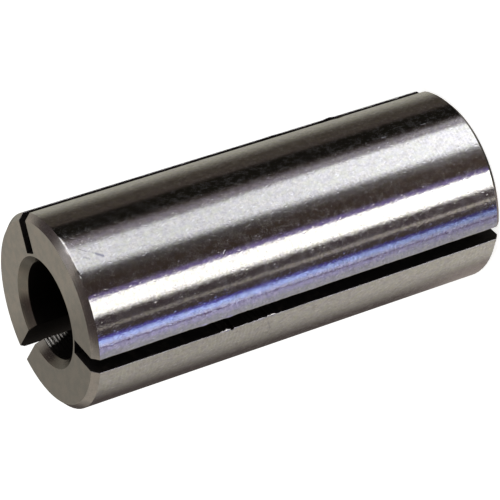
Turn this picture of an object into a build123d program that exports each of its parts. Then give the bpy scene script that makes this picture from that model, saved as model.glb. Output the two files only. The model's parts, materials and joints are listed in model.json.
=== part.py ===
"""A slotted collet sleeve of hardened steel that fits a thin shank into a wider collet.

The sleeve is turned and ground from one bar. It stands on one end with its axis along Z, and the
origin is the centre of the lower end face. One slot along +X is cut right through the wall, so that
the sleeve can close on a shank. The other slots stop short of the bore and leave a thin web to flex.
All lengths are in millimetres and all angles in degrees.
"""

import os

from build123d import *

# Turned body
OUTER_DIAMETER = 12.7
BORE_DIAMETER = 6.35
LENGTH = 30.0

# Broken edges at both ends, all at 45 degrees
OUTER_CHAMFER = 0.4
BORE_CHAMFER = 0.475

# Slots along the whole length
SLOT_COUNT = 3
SLOT_WIDTH = 1.0
WEB_THICKNESS = 0.625

# How far a cutter reaches past the surface that it leaves through
CUTTER_OVERRUN = 1.0

OUTER_RADIUS = OUTER_DIAMETER / 2
BORE_RADIUS = BORE_DIAMETER / 2
WEB_OUTER_RADIUS = BORE_RADIUS + WEB_THICKNESS


def wall_section():
    """Half section of the wall in the XZ plane: a rectangle with all four corners broken."""
    return Polyline(
        (BORE_RADIUS + BORE_CHAMFER, 0, 0),
        (OUTER_RADIUS - OUTER_CHAMFER, 0, 0),
        (OUTER_RADIUS, 0, OUTER_CHAMFER),
        (OUTER_RADIUS, 0, LENGTH - OUTER_CHAMFER),
        (OUTER_RADIUS - OUTER_CHAMFER, 0, LENGTH),
        (BORE_RADIUS + BORE_CHAMFER, 0, LENGTH),
        (BORE_RADIUS, 0, LENGTH - BORE_CHAMFER),
        (BORE_RADIUS, 0, BORE_CHAMFER),
        close=True,
    )


def turned_blank():
    """The sleeve before slitting: the wall section turned once about Z."""
    return revolve(make_face(wall_section()), axis=Axis.Z)


def slot_cutter(inner_radius, angle):
    """A flat saw cut along the whole length, from inner_radius outwards, turned to an angle about Z."""
    depth = OUTER_RADIUS + CUTTER_OVERRUN - inner_radius
    height = LENGTH + 2 * CUTTER_OVERRUN
    blade = Pos(inner_radius, 0, -CUTTER_OVERRUN) * Box(
        depth,
        SLOT_WIDTH,
        height,
        align=(Align.MIN, Align.CENTER, Align.MIN),
    )
    return Rot(0, 0, angle) * blade


def sleeve():
    """The finished sleeve: one slot right through at angle 0, the others down to the web."""
    body = turned_blank() - slot_cutter(0, 0)
    for index in range(1, SLOT_COUNT):
        body -= slot_cutter(WEB_OUTER_RADIUS, index * 360 / SLOT_COUNT)
    return body.solid()


os.makedirs("parts", exist_ok=True)
export_step(sleeve(), "parts/sleeve.step")
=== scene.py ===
"""A slotted collet sleeve of ground steel on a pale floor, in soft studio light.

The sleeve stands on its lower end face with its axis along Z. The slot that is cut right through
its wall points along +X. Lengths are in metres, and sizes given in millimetres are multiplied by MM.
"""

import json
import logging
import math
from collections.abc import Iterable
from dataclasses import dataclass, field
from enum import Enum, IntEnum
from functools import reduce
from typing import ClassVar

import bpy
import numpy as np
from mathutils import Matrix, Vector


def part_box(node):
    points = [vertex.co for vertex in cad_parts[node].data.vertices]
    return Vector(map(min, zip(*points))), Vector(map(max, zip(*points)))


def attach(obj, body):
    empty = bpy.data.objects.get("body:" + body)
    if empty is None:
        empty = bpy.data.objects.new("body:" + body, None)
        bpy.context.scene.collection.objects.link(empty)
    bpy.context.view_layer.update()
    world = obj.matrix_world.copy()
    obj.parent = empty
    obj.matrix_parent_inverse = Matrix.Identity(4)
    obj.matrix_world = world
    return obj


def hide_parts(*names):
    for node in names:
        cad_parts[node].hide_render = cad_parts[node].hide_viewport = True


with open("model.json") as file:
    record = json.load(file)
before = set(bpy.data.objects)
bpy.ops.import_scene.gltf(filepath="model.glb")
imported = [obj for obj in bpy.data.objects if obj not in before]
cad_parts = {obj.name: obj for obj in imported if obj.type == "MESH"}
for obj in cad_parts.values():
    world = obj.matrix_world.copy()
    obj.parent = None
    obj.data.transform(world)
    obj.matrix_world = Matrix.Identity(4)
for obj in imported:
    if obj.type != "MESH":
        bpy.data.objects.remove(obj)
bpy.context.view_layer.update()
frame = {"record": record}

MM = 0.001
MICRON = 1e-6
BODY = "root"
NODE = "sleeve"
PIECE = "slotted_sleeve"

Colour = tuple[float, float, float]

# A colour or vector that is the same everywhere, or the socket of one that varies
Given = Colour | Vector | bpy.types.NodeSocket

# Factors on x and y that take a point to the other side of the X axis
MIRROR = np.array([1.0, -1.0])

log = logging.getLogger("collet_sleeve")


# Small helpers


def smooth_step(value: np.ndarray) -> np.ndarray:
    """Rise from 0 to 1 as value goes from 0 to 1, with no slope at either end: 3t^2 - 2t^3."""
    t = np.clip(value, 0.0, 1.0)
    return t * t * (3.0 - 2.0 * t)


def window(value: np.ndarray, start: float, end: float, soft_start: float, soft_end: float) -> np.ndarray:
    """1 between start and end, easing to 0 over a soft width centred on each.

    Args:
        value: Where the window is read.
        start: The middle of the rising edge.
        end: The middle of the falling edge.
        soft_start: The width of the rising edge.
        soft_end: The width of the falling edge.

    Returns:
        The product of the two eased edges.
    """
    rise = smooth_step((value - start) / soft_start + 0.5)
    fall = smooth_step((end - value) / soft_end + 0.5)
    return rise * fall


def turned(points: np.ndarray, angle: float) -> np.ndarray:
    """Turn points, x and y along the last axis, about the origin: x cos - y sin, x sin + y cos."""
    cos, sin = math.cos(angle), math.sin(angle)
    return points @ np.array([[cos, sin], [-sin, cos]])


def mirrored(run: np.ndarray) -> np.ndarray:
    """A run of points on one wall of a slot along +X, as the other wall has it: last point first."""
    return (run * MIRROR)[:, ::-1]


def wander(place: np.ndarray, draw: np.random.Generator, period: float) -> np.ndarray:
    """A smooth random line between -1 and 1: random values one period apart, joined by eased steps.

    Args:
        place: Where it is read, from 0 up.
        draw: The source of random numbers.
        period: The distance between the random values.

    Returns:
        The line's value at each place.
    """
    knots = draw.uniform(-1.0, 1.0, math.ceil(place.max() / period) + 2)
    index = np.floor(place / period).astype(int)
    share = smooth_step(place / period - index)
    return knots[index] + (knots[index + 1] - knots[index]) * share


def placed(name: str, data: bpy.types.ID) -> bpy.types.Object:
    """Make an object at the origin and link it to the scene.

    Args:
        name: The object's name.
        data: Its mesh, camera or lamp.

    Returns:
        The object.
    """
    made = bpy.data.objects.new(name, data)
    bpy.context.scene.collection.objects.link(made)
    return made


# Shader graphs


@dataclass(frozen=True)
class Spot:
    """A place on a surface: a line in millimetres, and how far from it the spot ends."""

    start: Colour
    end: Colour
    width: float


class Value:
    """A number that varies over a surface. Arithmetic on it adds Math nodes to its shader."""

    def __init__(self, shader: "Shader", socket: bpy.types.NodeSocket) -> None:
        """Wrap one output socket of a shader's graph."""
        self.shader = shader
        self.socket = socket

    def __add__(self, other: "Value | float") -> "Value":
        """self + other."""
        return self.shader.maths("ADD", self, other)

    def __radd__(self, other: float) -> "Value":
        """other + self."""
        return self.shader.maths("ADD", other, self)

    def __sub__(self, other: "Value | float") -> "Value":
        """self - other."""
        return self.shader.maths("SUBTRACT", self, other)

    def __rsub__(self, other: float) -> "Value":
        """other - self."""
        return self.shader.maths("SUBTRACT", other, self)

    def __mul__(self, other: "Value | float") -> "Value":
        """self * other."""
        return self.shader.maths("MULTIPLY", self, other)

    def __rmul__(self, other: float) -> "Value":
        """other * self."""
        return self.shader.maths("MULTIPLY", other, self)

    def __truediv__(self, other: "Value | float") -> "Value":
        """self / other."""
        return self.shader.maths("DIVIDE", self, other)

    def __pow__(self, other: "Value | float") -> "Value":
        """self ** other."""
        return self.shader.maths("POWER", self, other)

    def sine(self) -> "Value":
        """The sine of this angle in radians."""
        return self.shader.maths("SINE", self)

    def rise(self, low: float, high: float) -> "Value":
        """Ease from 0 at low to 1 at high.

        Args:
            low: The value that gives 0.
            high: The value that gives 1; it may be below low, for a fall.

        Returns:
            The eased value.
        """
        inputs = {"Value": self, "From Min": low, "From Max": high}
        made = self.shader.node("ShaderNodeMapRange", {"interpolation_type": "SMOOTHSTEP"}, inputs)
        return Value(self.shader, made.outputs["Result"])


class Shader:
    """One material and the graph of nodes that makes its surface."""

    # How much of the finer layers soft noise has, the radius that a speck has at least, as a share of
    # its cell, and the share of a mark's width that has the mark's full strength
    NOISE_ROUGHNESS: ClassVar[float] = 0.55
    LEAST_SPECK: ClassVar[float] = 0.001
    MARK_CORE: ClassVar[float] = 0.2

    # The sockets of a Mix node that mixes colours
    MIX_AMOUNT: ClassVar[int] = 0
    MIX_PLAIN: ClassVar[int] = 6
    MIX_TINT: ClassVar[int] = 7
    MIX_RESULT: ClassVar[int] = 2

    def __init__(self, name: str) -> None:
        """Start an empty material of this name."""
        self.material = bpy.data.materials.new(name)
        self.material.use_nodes = True
        self.tree = self.material.node_tree
        self.tree.nodes.clear()

    def node(
        self, kind: str, settings: dict[str, object], inputs: dict[str | int, object]
    ) -> bpy.types.Node:
        """Add a node.

        Args:
            kind: The node's type, such as ShaderNodeMath.
            settings: The node's own properties, which are set first.
            inputs: For each input's name or number, a value, a Value or an output socket.

        Returns:
            The new node.
        """
        made = self.tree.nodes.new(kind)
        for key, setting in settings.items():
            setattr(made, key, setting)
        for key, given in inputs.items():
            source = given.socket if isinstance(given, Value) else given
            if isinstance(source, bpy.types.NodeSocket):
                self.tree.links.new(source, made.inputs[key])
            else:
                made.inputs[key].default_value = source
        return made

    def maths(self, operation: str, *operands: Value | float) -> Value:
        """Add a Math node with this operation on these operands, in order."""
        made = self.node("ShaderNodeMath", {"operation": operation}, dict(enumerate(operands)))
        return Value(self, made.outputs["Value"])

    def millimetres(self) -> bpy.types.NodeSocket:
        """The surface point in the object's own frame, as a vector in millimetres."""
        place = self.node("ShaderNodeTexCoord", {}, {}).outputs["Object"]
        return self.vectors("MULTIPLY", place, (1.0 / MM,) * 3)

    def vectors(self, operation: str, *operands: Given) -> bpy.types.NodeSocket:
        """Add a Vector Math node that gives a vector, on these operands, in order."""
        made = self.node("ShaderNodeVectorMath", {"operation": operation}, dict(enumerate(operands)))
        return made.outputs["Vector"]

    def measured(self, operation: str, *operands: Given) -> Value:
        """Add a Vector Math node that gives a number, on these operands, in order."""
        made = self.node("ShaderNodeVectorMath", {"operation": operation}, dict(enumerate(operands)))
        return Value(self, made.outputs["Value"])

    def axes_of(self, vector: bpy.types.NodeSocket) -> tuple[Value, Value, Value]:
        """Split a vector into its X, Y and Z."""
        made = self.node("ShaderNodeSeparateXYZ", {}, {"Vector": vector})
        return tuple(Value(self, out) for out in made.outputs)

    def noise(self, vector: bpy.types.NodeSocket, scale: Colour, detail: float) -> Value:
        """Soft noise in 0..1.

        Args:
            vector: Where it is read.
            scale: Features per unit along each axis.
            detail: How many finer layers are added.

        Returns:
            The noise's value.
        """
        stretched = self.vectors("MULTIPLY", vector, scale)
        inputs = {"Vector": stretched, "Scale": 1.0, "Detail": detail, "Roughness": self.NOISE_ROUGHNESS}
        made = self.node("ShaderNodeTexNoise", {"noise_dimensions": "3D"}, inputs)
        return Value(self, made.outputs["Fac"])

    def unrolled(self, vector: bpy.types.NodeSocket, radius_mm: float) -> bpy.types.NodeSocket:
        """Lay a round surface flat: X runs round the axis, Y is the height, with no Z.

        The seam lies along +X, in the slot that is cut right through.

        Args:
            vector: The surface point in millimetres.
            radius_mm: The surface's radius.

        Returns:
            The flat vector's socket.
        """
        x, y, z = self.axes_of(vector)
        round_way = self.maths("ARCTAN2", y * -1.0, x * -1.0) * radius_mm
        return self.node("ShaderNodeCombineXYZ", {}, {"X": round_way, "Y": z}).outputs["Vector"]

    def specks(
        self, flat: bpy.types.NodeSocket, scale: tuple[float, float], size: float, rarity: float
    ) -> Value:
        """Scattered round or long spots on a flat vector, one to a cell at most.

        Args:
            flat: Where they are read; only X and Y count.
            scale: Cells per unit along X and Y; unequal scales make long marks.
            size: A spot's largest radius as a share of its cell.
            rarity: The power that makes most spots small.

        Returns:
            1 at each spot's middle, 0 outside it.
        """
        stretched = self.vectors("MULTIPLY", flat, (*scale, 1.0))
        inputs = {"Vector": stretched, "Scale": 1.0, "Randomness": 1.0}
        cells = self.node("ShaderNodeTexVoronoi", {"feature": "F1", "voronoi_dimensions": "2D"}, inputs)
        shade = self.node("ShaderNodeSeparateColor", {}, {"Color": cells.outputs["Color"]})
        radius = Value(self, shade.outputs["Red"]) ** rarity * size
        return (Value(self, cells.outputs["Distance"]) / (radius + self.LEAST_SPECK)).rise(1.0, 0.0)

    def slanted(self, flat: bpy.types.NodeSocket, degrees: float) -> bpy.types.NodeSocket:
        """Turn a flat pattern by some degrees, so that its long marks lie aslant to the axis."""
        inputs = {"Vector": flat, "Rotation": (0.0, 0.0, math.radians(degrees))}
        return self.node("ShaderNodeMapping", {"vector_type": "POINT"}, inputs).outputs["Vector"]

    def mark(self, vector: bpy.types.NodeSocket, spot: Spot) -> Value:
        """A straight mark: 1 on the spot's line, easing to 0 at its width.

        The nearest point of the line is start + t (end - start), where t is the share along it,
        (p - start) . (end - start) / |end - start|^2, kept between 0 and 1.

        Args:
            vector: Where it is read.
            spot: The mark's line and width.

        Returns:
            The mark's value.
        """
        run = Vector(spot.end) - Vector(spot.start)
        away = self.vectors("SUBTRACT", vector, spot.start)
        along = self.measured("DOT_PRODUCT", away, run / run.length_squared)
        share = self.node("ShaderNodeClamp", {}, {"Value": along}).outputs["Result"]
        nearest = self.vectors("MULTIPLY", share, run)
        return self.measured("DISTANCE", away, nearest).rise(spot.width, spot.width * self.MARK_CORE)

    def total(self, values: Iterable[Value]) -> Value:
        """Add values up."""
        return reduce(lambda first, second: first + second, values)

    def mixed(self, amount: Value, plain: Given, tint: Given) -> bpy.types.NodeSocket:
        """Mix two colours.

        Args:
            amount: 0 for plain, 1 for tint.
            plain: The first colour, or its socket.
            tint: The second colour, or its socket.

        Returns:
            The mixed colour's socket.
        """
        inputs = {self.MIX_AMOUNT: amount}
        for slot, given in ((self.MIX_PLAIN, plain), (self.MIX_TINT, tint)):
            inputs[slot] = given if isinstance(given, bpy.types.NodeSocket) else (*given, 1.0)
        return self.node("ShaderNodeMix", {"data_type": "RGBA"}, inputs).outputs[self.MIX_RESULT]

    def bumped(self, height: Value, depth: float) -> bpy.types.NodeSocket:
        """Tilt the normal by a height field, in which a height of 1 stands for depth metres."""
        inputs = {"Strength": 1.0, "Distance": depth, "Height": height}
        return self.node("ShaderNodeBump", {}, inputs).outputs["Normal"]

    def finished(self, surface: bpy.types.Node) -> bpy.types.Material:
        """End the graph with this node's first output as the surface, and give the material."""
        self.node("ShaderNodeOutputMaterial", {}, {"Surface": surface.outputs[0]})
        return self.material

    def steel(
        self,
        colour: bpy.types.NodeSocket,
        roughness: Value,
        normal: bpy.types.NodeSocket,
        film: dict[str, Value | float] | None = None,
    ) -> bpy.types.Material:
        """Finish the graph as metal.

        Args:
            colour: The metal's colour.
            roughness: Its roughness.
            normal: The normal.
            film: Inputs of the shader's coat, where a film lies on the metal.

        Returns:
            The finished material.
        """
        inputs = {"Base Color": colour, "Roughness": roughness, "Normal": normal, "Metallic": 1.0}
        inputs |= film or {}
        return self.finished(self.node("ShaderNodeBsdfPrincipled", {}, inputs))


# Finishes of the sleeve's surfaces


class Scuff(Enum):
    """Marks that the sleeve has taken in use: two ends, a width in millimetres, a depth in microns.

    Each end is an angle about the axis in degrees, then a height in millimetres.
    """

    UPPER_END_SCRATCH = ((187.2, 28.55), (180.9, 27.66), 0.10, 1.5)
    UPPER_END_GOUGE = ((183.3, 28.0), (180.9, 27.66), 0.16, 3.5)
    UPPER_END_RUB = ((183.5, 28.85), (181.6, 28.55), 0.12, 2.0)
    UPPER_END_GRAZE = ((189.5, 28.9), (186.0, 28.5), 0.03, 3.0)
    MIDDLE_DENT = ((161.0, 20.16), (162.6, 20.02), 0.06, 4.5)
    MIDDLE_TICK = ((149.4, 15.34), (151.6, 15.38), 0.025, 4.0)
    SHORT_TICK = ((174.3, 16.15), (175.7, 15.95), 0.03, 4.0)
    LOWER_DENT = ((199.2, 6.40), (199.0, 6.10), 0.04, 4.5)
    LOWER_TICK = ((199.8, 3.35), (199.6, 3.0), 0.03, 4.0)
    LOOP_LEFT = ((108.6, 18.40), (105.8, 18.48), 0.07, 1.75)
    LOOP_RIGHT = ((110.9, 17.65), (105.4, 17.41), 0.07, 1.75)
    LOOP_FOOT = ((105.4, 17.41), (101.2, 17.50), 0.07, 1.5)
    LOOP_BASE = ((101.2, 17.50), (102.6, 17.94), 0.07, 1.5)

    def __init__(
        self, start: tuple[float, float], end: tuple[float, float], width: float, depth: float
    ) -> None:
        """Name the mark's numbers."""
        self.start = start
        self.end = end
        self.width = width
        self.depth = depth

    def spot(self, radius_mm: float) -> Spot:
        """Where the mark lies on a round surface of this radius.

        Args:
            radius_mm: The surface's radius.

        Returns:
            The mark's spot: each end at r cos a, r sin a and its height.
        """
        turns = [(math.radians(angle), height) for angle, height in (self.start, self.end)]
        ends = [(radius_mm * math.cos(t), radius_mm * math.sin(t), height) for t, height in turns]
        return Spot(*ends, self.width)


class Grain(Enum):
    """Soft noise on the outside: features per millimetre along each axis, and how many finer layers."""

    TINT = ((3.6, 3.6, 2.6), 3.0)
    LINES = ((0.5, 0.5, 8.0), 3.0)
    DAPPLE = ((5.5, 5.5, 4.6), 2.0)
    DRIFT = ((1.1, 1.1, 0.8), 3.0)
    FINE = ((10.0, 10.0, 8.0), 2.0)
    CLOUDS = ((3.0, 3.0, 2.2), 4.0)
    BLUSH = ((2.1, 2.1, 1.6), 4.0)
    BLOTCH = ((3.1, 3.1, 2.4), 3.0)
    SMUDGE = ((0.4, 0.4, 0.25), 3.0)


class Fleck(Enum):
    """Small marks strewn over the outside: a slant in degrees, cells per millimetre, size, rarity."""

    PITS = (75.0, (1.1, 2.4), 0.17, 4.0)
    NICKS = (12.0, (3.6, 1.3), 0.32, 4.0)
    STROKES = (62.0, (1.3, 4.2), 0.34, 3.0)
    CROSSED = (-28.0, (1.0, 3.6), 0.30, 3.0)


@dataclass(frozen=True)
class GroundFinish:
    """The outside: ground round, dappled by handling, with a film of oil in patches, pits and scuffs.

    Chatter rings show faintly in some places, and plainly at one spot. The film is whole up to the
    height oiled_mm, and a share of it is left above wiped_mm. The blush is olive, the tint is cool, and
    the stain is the colour that a micron of a scuff's depth gives.
    """

    radius_mm: float
    colour: Colour = (0.66, 0.635, 0.61)
    dull_colour: Colour = (0.445, 0.43, 0.415)
    cool_colour: Colour = (0.54, 0.53, 0.64)
    olive_colour: Colour = (0.585, 0.60, 0.505)
    fleck_colour: Colour = (0.84, 0.84, 0.86)
    scuff_colour: Colour = (0.20, 0.20, 0.26)
    blush: float = 0.36
    tint: float = 0.27
    stain: float = 0.16
    roughness: float = 0.062
    roughness_spread: float = 0.075
    film: float = 1.0
    wiped_film: float = 0.4
    film_roughness: float = 0.37
    oiled_mm: float = 17.0
    wiped_mm: float = 27.0
    chatter_mm: float = 0.27
    chatter_drift: float = 9.0
    chatter_spot: Spot = Spot((-2.2, 5.95, 20.6), (-1.2, 6.23, 18.4), 1.7)

    def material(self) -> bpy.types.Material:
        """Build the ground steel's material.

        Returns:
            The material, with its graph of nodes.
        """
        shader = Shader("ground_outside")
        place = shader.millimetres()
        flat = shader.unrolled(place, self.radius_mm)
        _, _, z = shader.axes_of(place)
        tint, lines, dapple, drift, fine, clouds, blush, blotch, smudge = (
            shader.noise(place, *grain.value) for grain in Grain
        )
        pits, nicks, strokes, crossed = (
            shader.specks(shader.slanted(flat, slant), *shape)
            for slant, *shape in (fleck.value for fleck in Fleck)
        )
        scuffs = shader.total(
            shader.mark(place, scuff.spot(self.radius_mm)) * scuff.depth for scuff in Scuff
        )
        ringed = smudge.rise(0.42, 0.66) * 0.7 + shader.mark(place, self.chatter_spot)
        chatter = (z * (math.tau / self.chatter_mm) + drift * self.chatter_drift).sine() * ringed
        # The height is in microns
        height = lines * 0.8 + dapple * 2.3 + drift * 1.6 + fine * 0.8 + chatter * 0.25
        height = height + strokes * 0.9 - crossed * 1.0 - nicks * 1.5 - pits * 3.0 - scuffs
        worn = fine.rise(0.32, 0.68) * 0.30 + dapple.rise(0.38, 0.62) * 0.38 + blotch.rise(0.40, 0.60) * 0.32
        bright = strokes * 0.45 + pits * 0.45 + nicks * 0.35 + fine.rise(0.56, 0.78) * 0.25
        bright = bright + chatter.rise(0.0, 1.0) * 0.16
        colour = shader.mixed(worn, self.colour, self.dull_colour)
        colour = shader.mixed(blush.rise(0.43, 0.59) * self.blush, colour, self.olive_colour)
        colour = shader.mixed(tint.rise(0.40, 0.60) * self.tint, colour, self.cool_colour)
        colour = shader.mixed(bright, colour, self.fleck_colour)
        colour = shader.mixed(scuffs * self.stain, colour, self.scuff_colour)
        spread = smudge.rise(0.4, 0.8) * 0.3 + clouds.rise(0.40, 0.64) * 0.5
        spread = spread + dapple.rise(0.42, 0.75) * 0.4 + pits * 0.5 + nicks * 0.4
        roughness = self.roughness + spread * self.roughness_spread
        left = z.rise(self.wiped_mm, self.oiled_mm) * (1.0 - self.wiped_film) + self.wiped_film
        oiled = clouds.rise(0.46, 0.60) * left * self.film
        film = {"Coat Weight": oiled, "Coat Roughness": self.film_roughness}
        return shader.steel(colour, roughness, shader.bumped(height, MICRON), film)


@dataclass(frozen=True)
class PaintedShade:
    """Painted shade, deeper to one side: a direction across the axis, from where to where, and how much."""

    toward: tuple[float, float]
    low_mm: float
    high_mm: float
    share: float


@dataclass(frozen=True)
class TurnedFinish:
    """An end face or a broken edge: turned, then dulled, with faint rings and a warm mottling.

    One side may carry painted shade, and one spot a painted lit patch. Depths are in microns.
    """

    name: str
    colour: Colour = (0.555, 0.52, 0.485)
    cool_colour: Colour = (0.485, 0.475, 0.452)
    # Painted shade that darkens one side, if any
    shade: PaintedShade | None = None
    roughness: float = 0.42
    ring_pitch_mm: float = 0.11
    ring_depth: float = 0.35
    grain_depth: float = 2.6
    pit_depth: float = 5.0
    # How much grime follows the grain, and the darker tone that grime and painted shade both go to
    grime: float = 0.18
    grime_and_shade_tone: float = 0.35
    uneven: float = 0.08
    # A painted lit patch: one spot brightened where light falls, how much, and its colour
    rub: Spot | None = None
    lit_patch_share: float = 0.55
    lighter_patch_colour: Colour = (0.70, 0.67, 0.61)

    def material(self) -> bpy.types.Material:
        """Build the turned steel's material.

        Returns:
            The material, with its graph of nodes.
        """
        shader = Shader(self.name)
        place = shader.millimetres()
        x, y, _ = shader.axes_of(place)
        radius = (x * x + y * y) ** 0.5
        rings = (radius * (math.tau / self.ring_pitch_mm)).sine()
        grain = shader.noise(place, (13.0, 13.0, 13.0), 3.0)
        patches = shader.noise(place, (1.5, 1.5, 1.5), 4.0)
        pits = shader.specks(place, (2.0, 2.0), 0.12, 2.0)
        grime_and_shade = grain.rise(0.3, 0.75) * self.grime
        # Painted shade: one side is darkened further, towards the same tone as the grime
        if self.shade:
            across = x * self.shade.toward[0] + y * self.shade.toward[1]
            grime_and_shade = grime_and_shade + across.rise(self.shade.low_mm, self.shade.high_mm) * self.shade.share
        height = rings * self.ring_depth + grain * self.grain_depth - pits * self.pit_depth
        colour = shader.mixed(patches.rise(0.38, 0.62), self.colour, self.cool_colour)
        colour = shader.mixed(grime_and_shade, colour, tuple(part * self.grime_and_shade_tone for part in self.cool_colour))
        # Painted light: the colour is brightened over one spot
        if self.rub:
            lit_patch_mask = shader.mark(place, self.rub)
            colour = shader.mixed(lit_patch_mask * self.lit_patch_share, colour, self.lighter_patch_colour)
        roughness = self.roughness + patches * self.uneven
        return shader.steel(colour, roughness, shader.bumped(height, MICRON))


@dataclass(frozen=True)
class SawnFinish:
    """The slots: sawn before hardening, dark with scale and painted shade, with fine lines along the cut.

    Depths are in microns.
    """

    # Near black: dark scale, and painted shade inside the slots
    colour: Colour = (0.030, 0.027, 0.026)
    # Lighter where the scale is rubbed, in patches
    lighter_patch_colour: Colour = (0.060, 0.052, 0.047)
    roughness: float = 0.66
    uneven: float = 0.2
    line_depth: float = 3.0
    scale_depth: float = 4.0

    def material(self) -> bpy.types.Material:
        """Build the sawn steel's material.

        Returns:
            The material, with its graph of nodes.
        """
        shader = Shader("sawn_slot")
        place = shader.millimetres()
        lines = shader.noise(place, (9.0, 9.0, 0.8), 3.0)
        scale = shader.noise(place, (1.6, 1.6, 1.6), 4.0)
        colour = shader.mixed(scale.rise(0.5, 0.75), self.colour, self.lighter_patch_colour)
        roughness = self.roughness + scale * self.uneven
        height = lines * self.line_depth + scale * self.scale_depth
        return shader.steel(colour, roughness, shader.bumped(height, MICRON))


@dataclass(frozen=True)
class BoredFinish:
    """The bore: a helical feed mark from the boring tool under dark scale and painted shade, with one
    painted lit patch.

    The scale fills the feed mark, and leaves only a share of its depth. Depths are in microns.
    """

    colour: Colour = (0.82, 0.80, 0.76)
    groove_colour: Colour = (0.30, 0.28, 0.25)
    # Dark scale, and painted shade that keeps the bore near black
    scale_and_shade_colour: Colour = (0.045, 0.040, 0.036)
    roughness: float = 0.40
    uneven: float = 0.12
    feed_mm: float = 0.27
    feed_depth: float = 15.0
    feed_wander: float = 7.0
    filled: float = 0.85
    grain_depth: float = 12.0
    # The painted lit patch near the mouth, by the slot that is cut right through
    rub: Spot = Spot((3.05, 0.88, 29.6), (3.14, 0.44, 28.3), 0.66)

    def material(self) -> bpy.types.Material:
        """Build the bored steel's material.

        Returns:
            The material, with its graph of nodes.
        """
        shader = Shader("bored_hole")
        place = shader.millimetres()
        x, y, z = shader.axes_of(place)
        angle = shader.maths("ARCTAN2", y, x)
        grain = shader.noise(place, (1.0, 1.0, 7.0), 3.0)
        patches = shader.noise(place, (0.9, 0.9, 2.2), 3.0)
        feed = (z * (math.tau / self.feed_mm) + angle + grain * self.feed_wander).sine()
        groove = patches.rise(0.35, 0.7) * 0.6 + feed.rise(-0.2, -1.0) * 0.4
        # Painted light: the lit patch shows bright steel, with ragged edges from the grain
        lit_patch_mask = shader.mark(place, self.rub)
        bright = (lit_patch_mask + (grain - 0.5) * 1.2).rise(0.25, 0.75) * lit_patch_mask.rise(0.0, 0.2)
        steel = shader.mixed(groove, self.colour, self.groove_colour)
        # Painted shade: the bore is dark scale everywhere but in the painted lit patch
        colour = shader.mixed(bright, self.scale_and_shade_colour, steel)
        roughness = self.roughness + grain * self.uneven
        shown = bright * self.filled + (1.0 - self.filled)
        height = feed * shown * self.feed_depth + grain * self.grain_depth
        return shader.steel(colour, roughness, shader.bumped(height, MICRON))


# The sleeve


class Zone(IntEnum):
    """The finish of a face, as its material slot on the mesh."""

    GROUND = 0
    FACE = 1
    EDGE = 2
    SINK = 3
    SAWN = 4
    BORED = 5


class Side(IntEnum):
    """Which wall of a slot is meant, as the sign of y with the slot along +X."""

    LOWER = -1
    UPPER = 1


class LipMark(Enum):
    """Spots on the slots' outer lips: metal broken out of the wall, or pushed up.

    Each has a slot and side, a height and half a length, a depth into the wall and a rise.
    """

    NICK = (1, Side.LOWER, 20.29 * MM, 0.085 * MM, 0.16 * MM, 0.0)
    SLIVER = (1, Side.UPPER, 22.35 * MM, 0.24 * MM, -0.035 * MM, 0.006 * MM)
    THIN_SLIVER = (1, Side.UPPER, 20.5 * MM, 0.30 * MM, -0.030 * MM, 0.005 * MM)
    NEAR_BUMP = (2, Side.LOWER, 7.2 * MM, 0.22 * MM, -0.030 * MM, 0.060 * MM)
    FAR_BUMP = (2, Side.UPPER, 7.30 * MM, 0.36 * MM, 0.0, 0.065 * MM)
    LONG_BUMP = (2, Side.UPPER, 11.7 * MM, 0.75 * MM, 0.0, 0.030 * MM)

    def __init__(
        self, slot: int, side: Side, height: float, half_length: float, depth: float, rise: float
    ) -> None:
        """Name the mark's numbers."""
        self.slot = slot
        self.side = side
        self.height = height
        self.half_length = half_length
        self.depth = depth
        self.rise = rise

    def bell(self, heights: np.ndarray) -> np.ndarray:
        """How much of the mark is at each height: 1 at its middle, exp(-(d / half length)^2) at d."""
        return np.exp(-(((heights - self.height) / self.half_length) ** 2))


@dataclass(frozen=True)
class Burr:
    """A stretch of one slot's lip where the saw has pushed metal into the slot."""

    # Where it is, and over which length it fades in and out
    slot: int = 1
    side: Side = Side.LOWER
    low: float = 16.6 * MM
    high: float = 21.1 * MM
    soft_low: float = 0.5 * MM
    soft_high: float = 0.3 * MM

    # How far it reaches into the slot, and how much it thickens, flattens and shifts the lip
    lean: float = 0.060 * MM
    thickness: float = 0.045 * MM
    flatness: float = 0.7
    slide: float = 0.5

    # The lengths of its bits, and how much of it is there between them
    short_bits: float = 0.13 * MM
    long_bits: float = 0.6 * MM
    cover: float = 0.15

    def rag(self, heights: np.ndarray, draw: np.random.Generator) -> np.ndarray:
        """How much burr stands at each height: torn into bits, some missing.

        Args:
            heights: Heights above the lower end face.
            draw: The source of random numbers.

        Returns:
            Shares between 0 and 1.
        """
        inside = window(heights, self.low, self.high, self.soft_low, self.soft_high)
        bits = wander(heights, draw, self.short_bits) * 0.9 + wander(heights, draw, self.long_bits) * 0.6
        return inside * np.clip(bits + self.cover, 0.0, 1.0)

    def torn(self, points: np.ndarray, rag: np.ndarray) -> np.ndarray:
        """Flatten the lip where burr stands, and slide it a little way over the outside.

        The last point moves sideways by slide times the lip's size, the others by the square of
        their share of the way to it. Then all move towards the straight line between both ends.

        Args:
            points: The lip's points at each height, for the upper wall of a slot along +X.
            rag: How much burr stands at each height.

        Returns:
            The torn lip's points.
        """
        share = np.linspace(0.0, 1.0, points.shape[1])
        size = points[:, -1:, 1] - points[:, :1, 1]
        moved = points.copy()
        moved[..., 1] += self.slide * rag[:, None] * size * share**2
        chord = moved[:, :1] + (moved[:, -1:] - moved[:, :1]) * share[None, :, None]
        return moved + (chord - moved) * (self.flatness * rag)[:, None, None]


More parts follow.
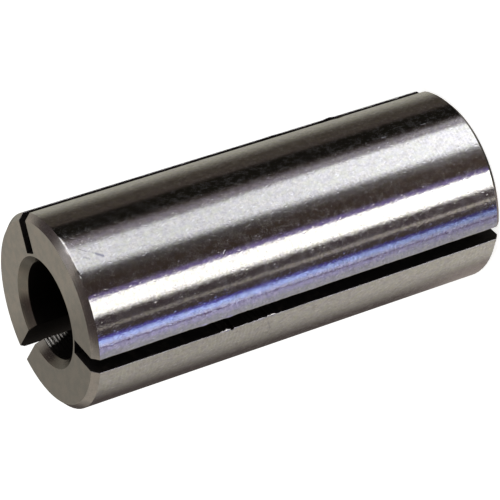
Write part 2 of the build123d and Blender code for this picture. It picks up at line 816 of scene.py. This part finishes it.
class Ding(Enum):
    """Knocks on the upper end's outer edge: an angle and half a width in degrees, and a depth."""

    BRIGHT = (189.8, 1.9, 0.044 * MM)
    LONG = (184.0, 1.3, 0.034 * MM)
    FAINT = (194.6, 1.3, 0.024 * MM)
    POINT = (175.0, 0.8, 0.048 * MM)

    def __init__(self, bearing: float, half_width: float, depth: float) -> None:
        """Name the ding's numbers."""
        self.bearing = bearing
        self.half_width = half_width
        self.depth = depth


@dataclass
class Stretch:
    """One run of the cross-section's outline: points for every level, and the finish behind them."""

    points: np.ndarray
    zone: Zone


@dataclass
class Sleeve:
    """The sleeve as one closed surface: an outline with a slot right through it, drawn along Z."""

    outer_radius: float
    bore_radius: float
    length: float
    outer_chamfer: float
    bore_chamfer: float
    slot_width: float = 1.0 * MM
    web_thickness: float = 0.625 * MM
    slot_count: int = 3

    # The radius of each end's corners, and of the slots' lips: how much and how often that varies,
    # what chips add to it, and how far a lip wanders
    end_edge: float = 0.010 * MM
    lip_edge: float = 0.028 * MM
    edge_spread: float = 0.3
    edge_period: float = 0.3 * MM
    chipped_edge: float = 0.045 * MM
    chip_period: float = 0.35 * MM
    chip_gain: float = 2.6
    chip_loss: float = 1.6
    wobble: float = 0.012 * MM
    long_wobble: float = 1.6 * MM
    short_wobble: float = 0.4 * MM
    burr: Burr = field(default_factory=Burr)

    # Wear of the outer corner at both ends: its depth and reach, and the waves that it follows
    edge_wear: float = 0.010 * MM
    edge_wear_spread: float = 0.05 * MM
    wave_number: int = 26
    wave_counts: tuple[int, int] = (40, 170)
    wave_share: float = 0.2
    wave_limit: float = 1.5
    seed: int = 11

    # How finely the surface is divided. Levels that are the same to this many digits are one. Those
    # beside the outer corner are in shares of the wear's reach, short steps in shares of a whole one,
    # and the walls' and the floor's points in shares of their run
    level_step: float = 0.21 * MM
    fine_step: float = 0.055 * MM
    level_digits: int = 9
    wear_levels: tuple[float, ...] = (0.12, 0.35, 0.8, 1.5)
    arc_points: int = 72
    bore_points: int = 72
    lip_points: int = 5
    edge_points: int = 5
    short_step: float = 0.12
    wall_shares: tuple[float, ...] = (0.008, 0.5, 0.992)
    floor_shares: tuple[float, ...] = (-1.0, -0.96, 0.0, 0.96, 1.0)

    @classmethod
    def from_frame(cls, record: dict) -> "Sleeve":
        """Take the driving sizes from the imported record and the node's box.

        Args:
            record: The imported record, whose mounts give the radii and the lengths of plain wall.

        Returns:
            A sleeve of those sizes.
        """
        mounts = {mount["name"]: mount["dims"] for mount in record["mounts"]}
        low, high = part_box(NODE)
        length = high[2] - low[2]
        return cls(
            outer_radius=mounts["outside"]["r_mm"] * MM,
            bore_radius=mounts["bore"]["r_mm"] * MM,
            length=length,
            outer_chamfer=(length - mounts["outside"]["length_mm"] * MM) / 2,
            bore_chamfer=(length - mounts["bore"]["length_mm"] * MM) / 2,
        )

    def edge_profile(self, chamfer: float) -> tuple[np.ndarray, np.ndarray]:
        """Half of a broken end edge: how far the wall stands back at each distance from the end.

        A 45 degree chamfer whose two corners are arcs of radius end_edge, each turning 45 degrees.

        Args:
            chamfer: The chamfer's leg.

        Returns:
            Distances from the end, rising from 0, and the wall's setback at each.
        """
        reach = self.end_edge * math.tan(math.pi / 8)
        turn = np.linspace(0.0, math.pi / 4, self.edge_points)
        face_depth = self.end_edge * (1 - np.cos(turn))
        face_back = chamfer + reach - self.end_edge * np.sin(turn)
        wall_depth = chamfer + reach - self.end_edge * np.sin(turn[::-1])
        wall_back = self.end_edge * (1 - np.cos(turn[::-1]))
        return np.concatenate([face_depth, wall_depth]), np.concatenate([face_back, wall_back])

    def levels(self) -> np.ndarray:
        """Heights of the outline's copies: close together at both ends and along the burr.

        Returns:
            The heights, rising.
        """
        outer, _ = self.edge_profile(self.outer_chamfer)
        bore, _ = self.edge_profile(self.bore_chamfer)
        away = np.array(self.wear_levels)
        wear = self.outer_chamfer + self.edge_wear_spread * np.concatenate([-away, away])
        near = np.concatenate([outer, bore, wear, [self.outer_chamfer / 2]])
        end = np.unique(np.round(near, self.level_digits))
        start = end[-1] + self.edge_wear_spread
        low, high = self.burr.low - self.level_step, self.burr.high + self.level_step
        stops = (start, low, high, self.length - start)
        steps = (self.level_step, self.fine_step, self.level_step)
        runs = [
            np.linspace(first, last, round((last - first) / step), endpoint=False)
            for first, last, step in zip(stops, stops[1:], steps)
        ]
        return np.concatenate([end, *runs, [stops[-1]], self.length - end[::-1]])

    def setback(self, heights: np.ndarray, chamfer: float) -> np.ndarray:
        """How far the wall stands back at each height, for a chamfer of this leg at both ends."""
        depth, back = self.edge_profile(chamfer)
        return np.interp(np.minimum(heights, self.length - heights), depth, back)

    def lip(
        self, radial: np.ndarray, heights: np.ndarray, slot: int, side: Side, draw: np.random.Generator
    ) -> tuple[np.ndarray, np.ndarray]:
        """One slot's outer lip: a small uneven rounding that wanders, with its marks and any burr.

        Args:
            radial: The outside's radius at each level, as a column.
            heights: Heights of the outline's copies.
            slot: The slot's number.
            side: The wall of the slot.
            draw: The source of random numbers.

        Returns:
            The lip's points for the upper wall of a slot along +X, and the polar angle of its centre.
        """
        slow = wander(heights, draw, self.long_wobble)
        lean = self.wobble * (slow + 0.5 * wander(heights, draw, self.short_wobble))
        chips = np.clip(wander(heights, draw, self.chip_period) * self.chip_gain - self.chip_loss, 0.0, 1.0)
        uneven = 1.0 + self.edge_spread * wander(heights, draw, self.edge_period)
        edge = self.lip_edge * uneven + self.chipped_edge * chips
        rise = np.zeros_like(heights)
        intact = np.ones_like(heights)
        for mark in LipMark:
            if (mark.slot, mark.side) == (slot, side):
                lean = lean - mark.depth * mark.bell(heights)
                rise = rise + mark.rise * mark.bell(heights)
                intact = intact * (1 - mark.bell(heights))
        proud = radial + rise[:, None]
        if (slot, side) == (self.burr.slot, self.burr.side):
            rag = self.burr.rag(heights, draw) * intact
            lean = lean + self.burr.lean * rag
            edge = edge + self.burr.thickness * rag
            points, polar = self.corner(proud, edge[:, None], lean[:, None], False)
            return self.burr.torn(points, rag), polar + self.burr.slide * (edge * rag)[:, None] / radial
        return self.corner(proud, edge[:, None], lean[:, None], False)

    def corner(
        self, radial: np.ndarray, edge: np.ndarray, lean: np.ndarray | float, inside: bool
    ) -> tuple[np.ndarray, np.ndarray]:
        """A rounded corner between a round wall and a slot's flat wall, for a slot along +X.

        The arc's centre lies one edge radius from both walls. On the outside it turns from the flat
        wall to the round one, and in the bore from the round wall to the flat one.

        Args:
            radial: The round wall's radius at each level, as a column.
            edge: The corner's radius at each level, as a column.
            lean: How far the corner leans into the slot at each level.
            inside: True for the bore's corner.

        Returns:
            The points, and the polar angle of the corner's centre at each level.
        """
        centre_y = self.slot_width / 2 + edge - lean
        centre_r = radial + edge if inside else radial - edge
        centre_x = np.sqrt(centre_r**2 - centre_y**2)
        polar = np.arctan2(centre_y, centre_x)
        share = np.linspace(0.0, 1.0, self.lip_points)
        flat = 1.5 * math.pi if inside else -0.5 * math.pi
        facing = polar + math.pi if inside else polar
        start, end = (facing, flat) if inside else (flat, facing)
        turn = start + (end - start) * share
        points = np.stack([centre_x + edge * np.cos(turn), centre_y + edge * np.sin(turn)], axis=-1)
        return points, polar

    def wall(self, start: np.ndarray, end: np.ndarray) -> np.ndarray:
        """Straight run between two columns of points, without its ends but with points close to them."""
        return start[:, None, :] + (end - start)[:, None, :] * np.array(self.wall_shares)[:, None]

    def arc(self, radial: np.ndarray, start: np.ndarray, end: np.ndarray, count: int) -> np.ndarray:
        """Circular run between two columns of angles, with its first and last steps short.

        Args:
            radial: The radius at each level, as a column.
            start: The angle of the corner before it.
            end: The angle of the corner after it.
            count: How many points it has.

        Returns:
            The points r cos a, r sin a.
        """
        inner = np.linspace(0.0, 1.0, count)
        short = inner[1] * self.short_step
        share = np.concatenate([[short], inner[1:-1], [1.0 - short]])
        angle = start + (end - start) * share
        return np.stack([radial * np.cos(angle), radial * np.sin(angle)], axis=-1)

    def blind_slot(self, start: np.ndarray, end: np.ndarray) -> list[np.ndarray]:
        """The inside of a slot along +X that stops short of the bore.

        Args:
            start: The last point of its lower lip at each level.
            end: The first point of its upper lip at each level.

        Returns:
            Its lower wall, its floor and its upper wall.
        """
        floor_radius = self.bore_radius + self.web_thickness
        high_corner = np.broadcast_to([floor_radius, self.slot_width / 2], end.shape)
        across = np.array([(1.0, share) for share in self.floor_shares])
        floor = high_corner[:, None, :] * across
        return [self.wall(start, high_corner * MIRROR), floor, self.wall(high_corner, end)]

    def outline(self, heights: np.ndarray) -> list[Stretch]:
        """The cross-section's outline at every level, counterclockwise, as one list of stretches.

        It starts on the upper wall of the through slot, goes round the outside and into each blind
        slot, and comes back through the bore, whose arc runs clockwise.

        Args:
            heights: Heights of the outline's copies.

        Returns:
            The stretches in order.
        """
        draw = np.random.default_rng(self.seed)
        outer = (self.outer_radius - self.setback(heights, self.outer_chamfer))[:, None]
        bore = (self.bore_radius + self.setback(heights, self.bore_chamfer))[:, None]
        lips = [
            {side: self.lip(outer, heights, slot, side, draw) for side in Side}
            for slot in range(self.slot_count)
        ]
        bore_lip, bore_polar = self.corner(bore, np.full_like(bore, self.lip_edge), 0.0, True)
        pitch = math.tau / self.slot_count
        stretches: list[Stretch] = []

        for index in range(self.slot_count):
            here, there = index * pitch, (index + 1) * pitch
            next_slot = lips[(index + 1) % self.slot_count]
            upper, upper_polar = lips[index][Side.UPPER]
            next_upper, _ = next_slot[Side.UPPER]
            next_lower, lower_polar = next_slot[Side.LOWER]
            lower = mirrored(next_lower)
            round_run = self.arc(outer, here + upper_polar, there - lower_polar, self.arc_points)
            ground = [turned(upper, here), round_run, turned(lower, there)]
            stretches += [Stretch(run, Zone.GROUND) for run in ground]
            if index + 1 < self.slot_count:
                sawn = self.blind_slot(lower[:, -1], next_upper[:, 0])
                stretches += [Stretch(turned(run, there), Zone.SAWN) for run in sawn]

        bore_run = self.arc(bore, math.tau - bore_polar, bore_polar, self.bore_points)
        bored = [mirrored(bore_lip), bore_run, bore_lip]
        return [
            *stretches,
            Stretch(self.wall(lower[:, -1], bored[0][:, 0]), Zone.SAWN),
            *[Stretch(run, Zone.BORED) for run in bored],
            Stretch(self.wall(bore_lip[:, -1], next_upper[:, 0]), Zone.SAWN),
        ]

    def worn(self, plan: np.ndarray, heights: np.ndarray) -> np.ndarray:
        """Wear the corner between the outside and its chamfer at both ends.

        Points move inwards by edge_wear times a bell over the distance from the corner, times the
        positive part of a sum of waves round the axis. The dings at the upper end go deeper, each
        times its own bell over the angle.

        Args:
            plan: The outline's points at every level.
            heights: Heights of the outline's copies, as a column.

        Returns:
            The worn points.
        """
        draw = np.random.default_rng(self.seed + 1)
        angle = np.arctan2(plan[..., 1], plan[..., 0])
        counts = draw.integers(*self.wave_counts, self.wave_number)
        phases = draw.uniform(0.0, math.tau, (self.wave_number, 1, 1))
        ripple = np.sin(counts[:, None, None] * angle + phases).sum(axis=0) * self.wave_share
        depth = np.minimum(heights, self.length - heights)
        bell = np.exp(-(((depth - self.outer_chamfer) / self.edge_wear_spread) ** 2))
        away = (np.degrees(angle) % 360.0)[..., None] - np.array([ding.bearing for ding in Ding])
        dents = np.exp(-((away / [ding.half_width for ding in Ding]) ** 2)) * [ding.depth for ding in Ding]
        upper = heights > self.length / 2
        inward = bell * (self.edge_wear * np.clip(ripple, 0.0, self.wave_limit) + upper * dents.sum(axis=-1))
        return plan * (1 - inward / self.outer_radius)[..., None]

    def build(self, finishes: dict[Zone, bpy.types.Material]) -> bpy.types.Object:
        """Make the sleeve's mesh and dress it.

        Each pair of neighbouring levels is joined by quads around the outline, and the two end
        faces are flat polygons.

        Args:
            finishes: The material of each zone.

        Returns:
            The sleeve's object, at the origin.
        """
        heights = self.levels()
        stretches = self.outline(heights)
        plan = np.concatenate([stretch.points for stretch in stretches], axis=1)
        zone = np.concatenate([np.full(s.points.shape[1], s.zone) for s in stretches])
        rows, columns = plan.shape[:2]
        depth = np.minimum(heights, self.length - heights)[:, None]
        plan = np.where((zone == Zone.GROUND)[None, :, None], self.worn(plan, heights[:, None]), plan)
        lift = np.broadcast_to(heights[:, None, None], (rows, columns, 1))
        vertices = np.concatenate([plan, lift], axis=2).reshape(-1, 3)

        number = np.arange(rows * columns).reshape(rows, columns)
        beside = np.roll(number, -1, axis=1)
        quads = np.stack([number[:-1], beside[:-1], beside[1:], number[1:]], axis=-1).reshape(-1, 4)

        middle = (depth[:-1] + depth[1:]) / 2
        kind = np.broadcast_to(zone, (rows - 1, columns))
        kind = np.where((kind == Zone.GROUND) & (middle < self.outer_chamfer), Zone.EDGE, kind)
        kind = np.where((kind == Zone.BORED) & (middle < self.bore_chamfer), Zone.SINK, kind)

        mesh = bpy.data.meshes.new(PIECE)
        caps = [number[-1].tolist(), number[0, ::-1].tolist()]
        mesh.from_pydata(vertices.tolist(), [], quads.tolist() + caps)
        smooth = np.ones(len(quads) + len(caps), dtype=bool)
        smooth[-len(caps):] = False
        mesh.polygons.foreach_set("use_smooth", smooth)
        slots = np.concatenate([kind.ravel(), np.full(len(caps), Zone.FACE)]).astype(np.int32)
        for member in Zone:
            mesh.materials.append(finishes[member])
        mesh.polygons.foreach_set("material_index", slots)
        mesh.validate()
        piece = placed(PIECE, mesh)
        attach(piece, BODY)
        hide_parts(NODE)
        return piece


# Studio


@dataclass(frozen=True)
class PhotoView:
    """The camera, where the photograph was taken from, rolled so that the sleeve lies aslant."""

    bearing: float = 160.8
    elevation: float = 25.894
    roll: float = -108.055
    distance: float = 185.29 * MM
    aim_right: float = -0.233 * MM
    aim_height: float = 15.30 * MM
    lens: float = 208.74
    sensor: float = 36.0
    clip_start: float = 5 * MM
    clip_end: float = 100.0

    def build(self) -> bpy.types.Object:
        """Make the camera.

        It looks at a point on the sleeve's axis, shifted a little to its own right, from a bearing
        counted from +X and an elevation above the floor, and is then rolled about its line of sight.

        Returns:
            The camera's object, set as the scene's camera.
        """
        bearing, elevation, roll = map(math.radians, (self.bearing, self.elevation, self.roll))
        flat = Vector((math.cos(bearing), math.sin(bearing), 0.0))
        back = flat * math.cos(elevation) + Vector((0.0, 0.0, math.sin(elevation)))
        right = Vector((-math.sin(bearing), math.cos(bearing), 0.0))
        above = back.cross(right)
        across = right * math.cos(roll) + above * math.sin(roll)
        upward = above * math.cos(roll) - right * math.sin(roll)
        place = right * self.aim_right + Vector((0.0, 0.0, self.aim_height)) + back * self.distance
        data = bpy.data.cameras.new("camera")
        data.lens = self.lens
        data.sensor_width = self.sensor
        data.clip_start = self.clip_start
        data.clip_end = self.clip_end
        camera = placed("camera", data)
        camera.matrix_world = Matrix.LocRotScale(
            place, Matrix((across, upward, back)).transposed().to_quaternion(), None
        )
        bpy.context.scene.camera = camera
        return camera


@dataclass(frozen=True)
class Card:
    """One reflecting card or lamp of the tent: where it stands, how soft its edges are, its light.

    Bearings are in degrees from the camera's own bearing, counterclockwise seen from above, and
    elevations are in degrees above the floor. Its light grows by the share `fall` for each degree
    below `MIDDLE`, and its end bearing moves by `lean` for each.
    """

    name: str
    start: float
    end: float
    colour: Colour
    soft_start: float = 4.0
    soft_end: float = 4.0
    low: float = -76.0
    high: float = 12.0
    soft_low: float = 14.0
    soft_high: float = 14.0
    fall: float = 0.0
    lean: float = 0.0

    MIDDLE: ClassVar[float] = -26.5

    # How far from the middle a card goes on changing, and the least and most of its light, as shares
    REACH: ClassVar[float] = 5.0
    LIGHT_RANGE: ClassVar[tuple[float, float]] = (0.2, 2.5)

    def over(self, light: np.ndarray, bearing: np.ndarray, elevation: np.ndarray) -> np.ndarray:
        """Lay the card over what stands behind it.

        Args:
            light: The light from each direction so far.
            bearing: Bearings in degrees, -180 to 180.
            elevation: Elevations in degrees.

        Returns:
            light (1 - share) + card share, where the share is a window across the card times one
            up and down it.
        """
        drop = np.clip(self.MIDDLE - elevation, -self.REACH, self.REACH)
        end = self.end + self.lean * drop
        share = window(bearing, self.start, end, self.soft_start, self.soft_end)
        share = share * window(elevation, self.low, self.high, self.soft_low, self.soft_high)
        own = np.array(self.colour) * np.clip(1 + self.fall * drop, *self.LIGHT_RANGE)[..., None]
        return light + (own - light) * share[..., None]


TENT_CARDS = (
    Card("ceiling", -200.0, 200.0, (0.45, 0.42, 0.365), low=8.0, high=120.0),
    Card("warm_shade", -169.5, -120.0, (0.096, 0.079, 0.074), 10.0, 14.0, fall=0.03),
    Card("warm_table", -126.0, -77.0, (0.56, 0.53, 0.475), 48.0, 5.0, fall=0.025),
    Card("near_table", -171.0, -126.0, (0.34, 0.295, 0.27), 8.0, 24.0, high=-28.3, soft_high=2.4),
    Card("grey_wall", -76.0, -58.0, (0.455, 0.450, 0.505), 5.0, 3.0),
    Card("lilac_wall", -64.5, -53.0, (0.425, 0.40, 0.62), 7.0, 3.0, fall=-0.05),
    Card("seam", -58.9, -57.6, (0.06, 0.01, 0.08), 0.6, 0.6),
    Card("window", -54.6, -48.4, (0.28, 0.35, 0.74), 2.0, 2.5, fall=-0.09, lean=-0.12),
    Card("low_slat", -56.7, -56.4, (1.30, 1.35, 1.60), 0.2, 0.2, fall=-0.08),
    Card("middle_slat", -54.7, -54.4, (1.40, 1.55, 2.00), 0.2, 0.2, fall=-0.08),
    Card("high_slat", -52.7, -52.3, (1.45, 1.70, 2.40), 0.2, 0.2, fall=-0.08),
    Card("top_slat", -50.5, -50.1, (1.00, 1.30, 2.30), 0.2, 0.2, fall=-0.08),
    Card("window_rim", -48.9, -46.0, (0.09, 0.07, 0.36), 2.0, 2.5, fall=-0.09),
    Card("shelf", -40.5, -24.5, (0.087, 0.069, 0.076), 3.0, 3.0, fall=0.04),
    Card("thin_shelf", -37.6, -34.1, (0.48, 0.44, 0.40), 2.0, 2.4, fall=0.06),
    Card("lamp", -21.2, -2.9, (2.45, 2.42, 2.34), 7.5, 2.0, fall=0.035),
    Card("lamp_rim", -3.0, 1.6, (0.24, 0.18, 0.44), 1.5, 4.0),
    Card("camera_side", 4.0, 32.0, (0.072, 0.053, 0.044), 4.0, 6.0, fall=0.05),
    Card("softbox_foot", 21.0, 40.0, (0.17, 0.16, 0.16), 14.0, 4.0, fall=0.08),
    Card("softbox", 30.6, 64.9, (1.43, 1.455, 1.51), 11.0, 12.5, fall=0.045, lean=0.8),
    Card("softbox_spill", 62.0, 69.2, (0.355, 0.32, 0.37), 6.0, 12.0),
    Card("black_gap", 75.4, 98.5, (0.011, 0.010, 0.008), 9.0, 6.0),
    Card("brown_wall", 100.0, 168.0, (0.076, 0.064, 0.052), 14.0, 8.0),
    Card("beige_wall", 128.3, 165.0, (0.45, 0.435, 0.375), 29.0, 20.0),
    Card("camera_shade", -75.0, 45.0, (0.062, 0.047, 0.047), 22.0, 25.0, 6.0, 77.0, 10.0, 9.0),
    Card("upper_haze", 60.0, 84.0, (0.50, 0.49, 0.51), 20.0, 14.0, 36.0, 66.0, 8.0, 8.0),
    Card("softbox_top", 31.0, 76.0, (1.45, 1.44, 1.46), 8.0, 12.0, -14.0, 42.0, 6.0, 14.0),
    Card("flag", 88.0, 128.0, (0.056, 0.042, 0.045), 10.0, 12.0, -8.0, 54.0, 8.0, 10.0),
    Card("foot_shade", 167.0, 200.0, (0.030, 0.025, 0.022), 8.0, 8.0, high=-18.0),
    Card("foot_shade_past_the_back", -200.0, -174.0, (0.030, 0.025, 0.022), 8.0, 5.0, high=-18.0),
)


@dataclass(frozen=True)
class LightTent:
    """A tent of cards around the sleeve that only polished steel sees."""

    camera_bearing: float
    radius: float = 0.30
    cloth: Colour = (0.074, 0.059, 0.054)
    cards: tuple[Card, ...] = TENT_CARDS
    foot: float = -84.0
    soft_foot: float = 14.0
    step: float = 0.5
    rows: int = 181
    fine_step: float = 0.125
    fine_start: float = -60.0
    fine_end: float = -44.0

    def glow(self, bearing: np.ndarray, elevation: np.ndarray) -> np.ndarray:
        """The light from each direction: dark cloth with the cards laid over it, black at the foot.

        Args:
            bearing: Bearings in degrees from the camera's bearing, -180 to 180.
            elevation: Elevations in degrees.

        Returns:
            Linear red, green and blue, along a last axis.
        """
        cloth = np.ones(bearing.shape + (3,)) * self.cloth
        light = reduce(lambda behind, card: card.over(behind, bearing, elevation), self.cards, cloth)
        return light * smooth_step((elevation - self.foot) / self.soft_foot)[..., None]

    def build(self) -> bpy.types.Object:
        """Make the tent: a sphere of bearing and elevation whose points carry their own light.

        Returns:
            The tent's object, seen by mirrored rays only.
        """
        wide = np.arange(-180.0, 180.0 + self.step / 2, self.step)
        narrow = np.arange(self.fine_start, self.fine_end, self.fine_step)
        columns = np.unique(np.concatenate([wide, narrow]))
        bearing, elevation = np.meshgrid(columns, np.linspace(-90.0, 90.0, self.rows))
        turn, rise = np.radians(bearing + self.camera_bearing), np.radians(elevation)
        points = np.stack([np.cos(turn) * np.cos(rise), np.sin(turn) * np.cos(rise), np.sin(rise)], axis=-1)
        number = np.arange(bearing.size).reshape(bearing.shape)
        corners = (number[:-1, :-1], number[:-1, 1:], number[1:, 1:], number[1:, :-1])
        mesh = bpy.data.meshes.new("light_tent")
        faces = np.stack(corners, axis=-1).reshape(-1, 4)
        mesh.from_pydata((points.reshape(-1, 3) * self.radius).tolist(), [], faces.tolist())
        light = mesh.attributes.new("glow", "FLOAT_COLOR", "POINT")
        colours = np.concatenate([self.glow(bearing, elevation), np.ones(bearing.shape + (1,))], axis=-1)
        light.data.foreach_set("color", colours.astype(np.float32).ravel())
        shader = Shader("tent_light")
        read = shader.node("ShaderNodeAttribute", {"attribute_name": "glow"}, {})
        shine = shader.node("ShaderNodeEmission", {}, {"Color": read.outputs["Color"], "Strength": 1.0})
        mesh.materials.append(shader.finished(shine))
        shader.material.cycles.emission_sampling = "NONE"
        tent = placed("light_tent", mesh)
        for ray in ("camera", "diffuse", "shadow", "transmission"):
            setattr(tent, f"visible_{ray}", False)
        return tent


@dataclass(frozen=True)
class Studio:
    """The pale floor, lit from below and by a soft lamp over it, and the pale surroundings."""

    floor_half: float = 6.0
    floor_colour: Colour = (0.86, 0.86, 0.85)
    floor_glow: float = 0.80
    surround: Colour = (0.90, 0.90, 0.89)
    surround_strength: float = 0.24
    lamp_size: float = 0.5
    lamp_height: float = 0.45
    lamp_power: float = 0.5

    def build_floor(self) -> bpy.types.Object:
        """Make the floor, which steel doesn't mirror, because the tent stands in its place there.

        Returns:
            The floor's object.
        """
        signs = ((-1, -1), (1, -1), (1, 1), (-1, 1))
        corners = [(x * self.floor_half, y * self.floor_half, 0.0) for x, y in signs]
        mesh = bpy.data.meshes.new("floor")
        mesh.from_pydata(corners, [], [(0, 1, 2, 3)])
        shader = Shader("pale_floor")
        pale = (*self.floor_colour, 1.0)
        inputs = {"Base Color": pale, "Roughness": 0.9, "Specular IOR Level": 0.0}
        inputs |= {"Emission Color": pale, "Emission Strength": self.floor_glow / self.floor_colour[0]}
        mesh.materials.append(shader.finished(shader.node("ShaderNodeBsdfPrincipled", {}, inputs)))
        floor = placed("floor", mesh)
        floor.visible_glossy = False
        return floor

    def build_lamp(self) -> bpy.types.Object:
        """Hang one wide soft lamp over the sleeve. It lights the floor and leaves steel to the tent.

        Returns:
            The lamp's object.
        """
        data = bpy.data.lights.new("overhead_lamp", "AREA")
        data.shape = "DISK"
        data.size = self.lamp_size
        data.energy = self.lamp_power
        lamp = placed("overhead_lamp", data)
        lamp.location = (0.0, 0.0, self.lamp_height)
        lamp.visible_glossy = False
        return lamp

    def build_surround(self) -> bpy.types.World:
        """Make the even pale light that comes from all round.

        Returns:
            The scene's new world.
        """
        world = bpy.data.worlds.new("surround")
        world.use_nodes = True
        ground = world.node_tree.nodes["Background"]
        ground.inputs["Color"].default_value = (*self.surround, 1.0)
        ground.inputs["Strength"].default_value = self.surround_strength
        bpy.context.scene.world = world
        bpy.context.scene.view_settings.view_transform = "Standard"
        return world


def main() -> None:
    """Build the sleeve and its studio, and report each piece."""
    logging.basicConfig(level=logging.INFO, format="%(name)s: %(message)s")
    view = PhotoView()
    camera = view.build()
    log.info("camera at %s", [round(value, 4) for value in camera.location])
    sleeve = Sleeve.from_frame(frame["record"])
    finishes = {
        Zone.GROUND: GroundFinish(sleeve.outer_radius / MM).material(),
        # The end face is painted darker towards one side, as shade
        Zone.FACE: TurnedFinish("turned_face", shade=PaintedShade((0.33, 0.94), -1.2, 1.7, 0.44)).material(),
        Zone.EDGE: TurnedFinish(
            "broken_edge",
            colour=(0.56, 0.52, 0.50),
            cool_colour=(0.485, 0.465, 0.455),
            roughness=0.20,
            ring_depth=0.2,
            grain_depth=1.4,
        ).material(),
        Zone.SINK: TurnedFinish(
            "countersink",
            colour=(0.355, 0.32, 0.285),
            cool_colour=(0.305, 0.29, 0.26),
            # Painted shade: darker everywhere but on the side away from the camera
            shade=PaintedShade((-0.944, 0.329), -2.7, -1.2, 0.70),
            roughness=0.20,
            grain_depth=1.4,
            # Painted light: a lit patch near the mouth, by the slot that is cut right through
            rub=Spot((3.34, 0.6, 29.75), (3.25, 0.95, 29.75), 0.6),
            lighter_patch_colour=(0.46, 0.44, 0.41),
        ).material(),
        Zone.SAWN: SawnFinish().material(),
        Zone.BORED: BoredFinish().material(),
    }
    piece = sleeve.build(finishes)
    log.info("%s: %d faces", piece.name, len(piece.data.polygons))
    studio = Studio()
    for made in (studio.build_floor(), studio.build_lamp(), LightTent(view.bearing).build()):
        log.info("%s is in place", made.name)
    studio.build_surround()


if __name__ == "__main__":
    main()
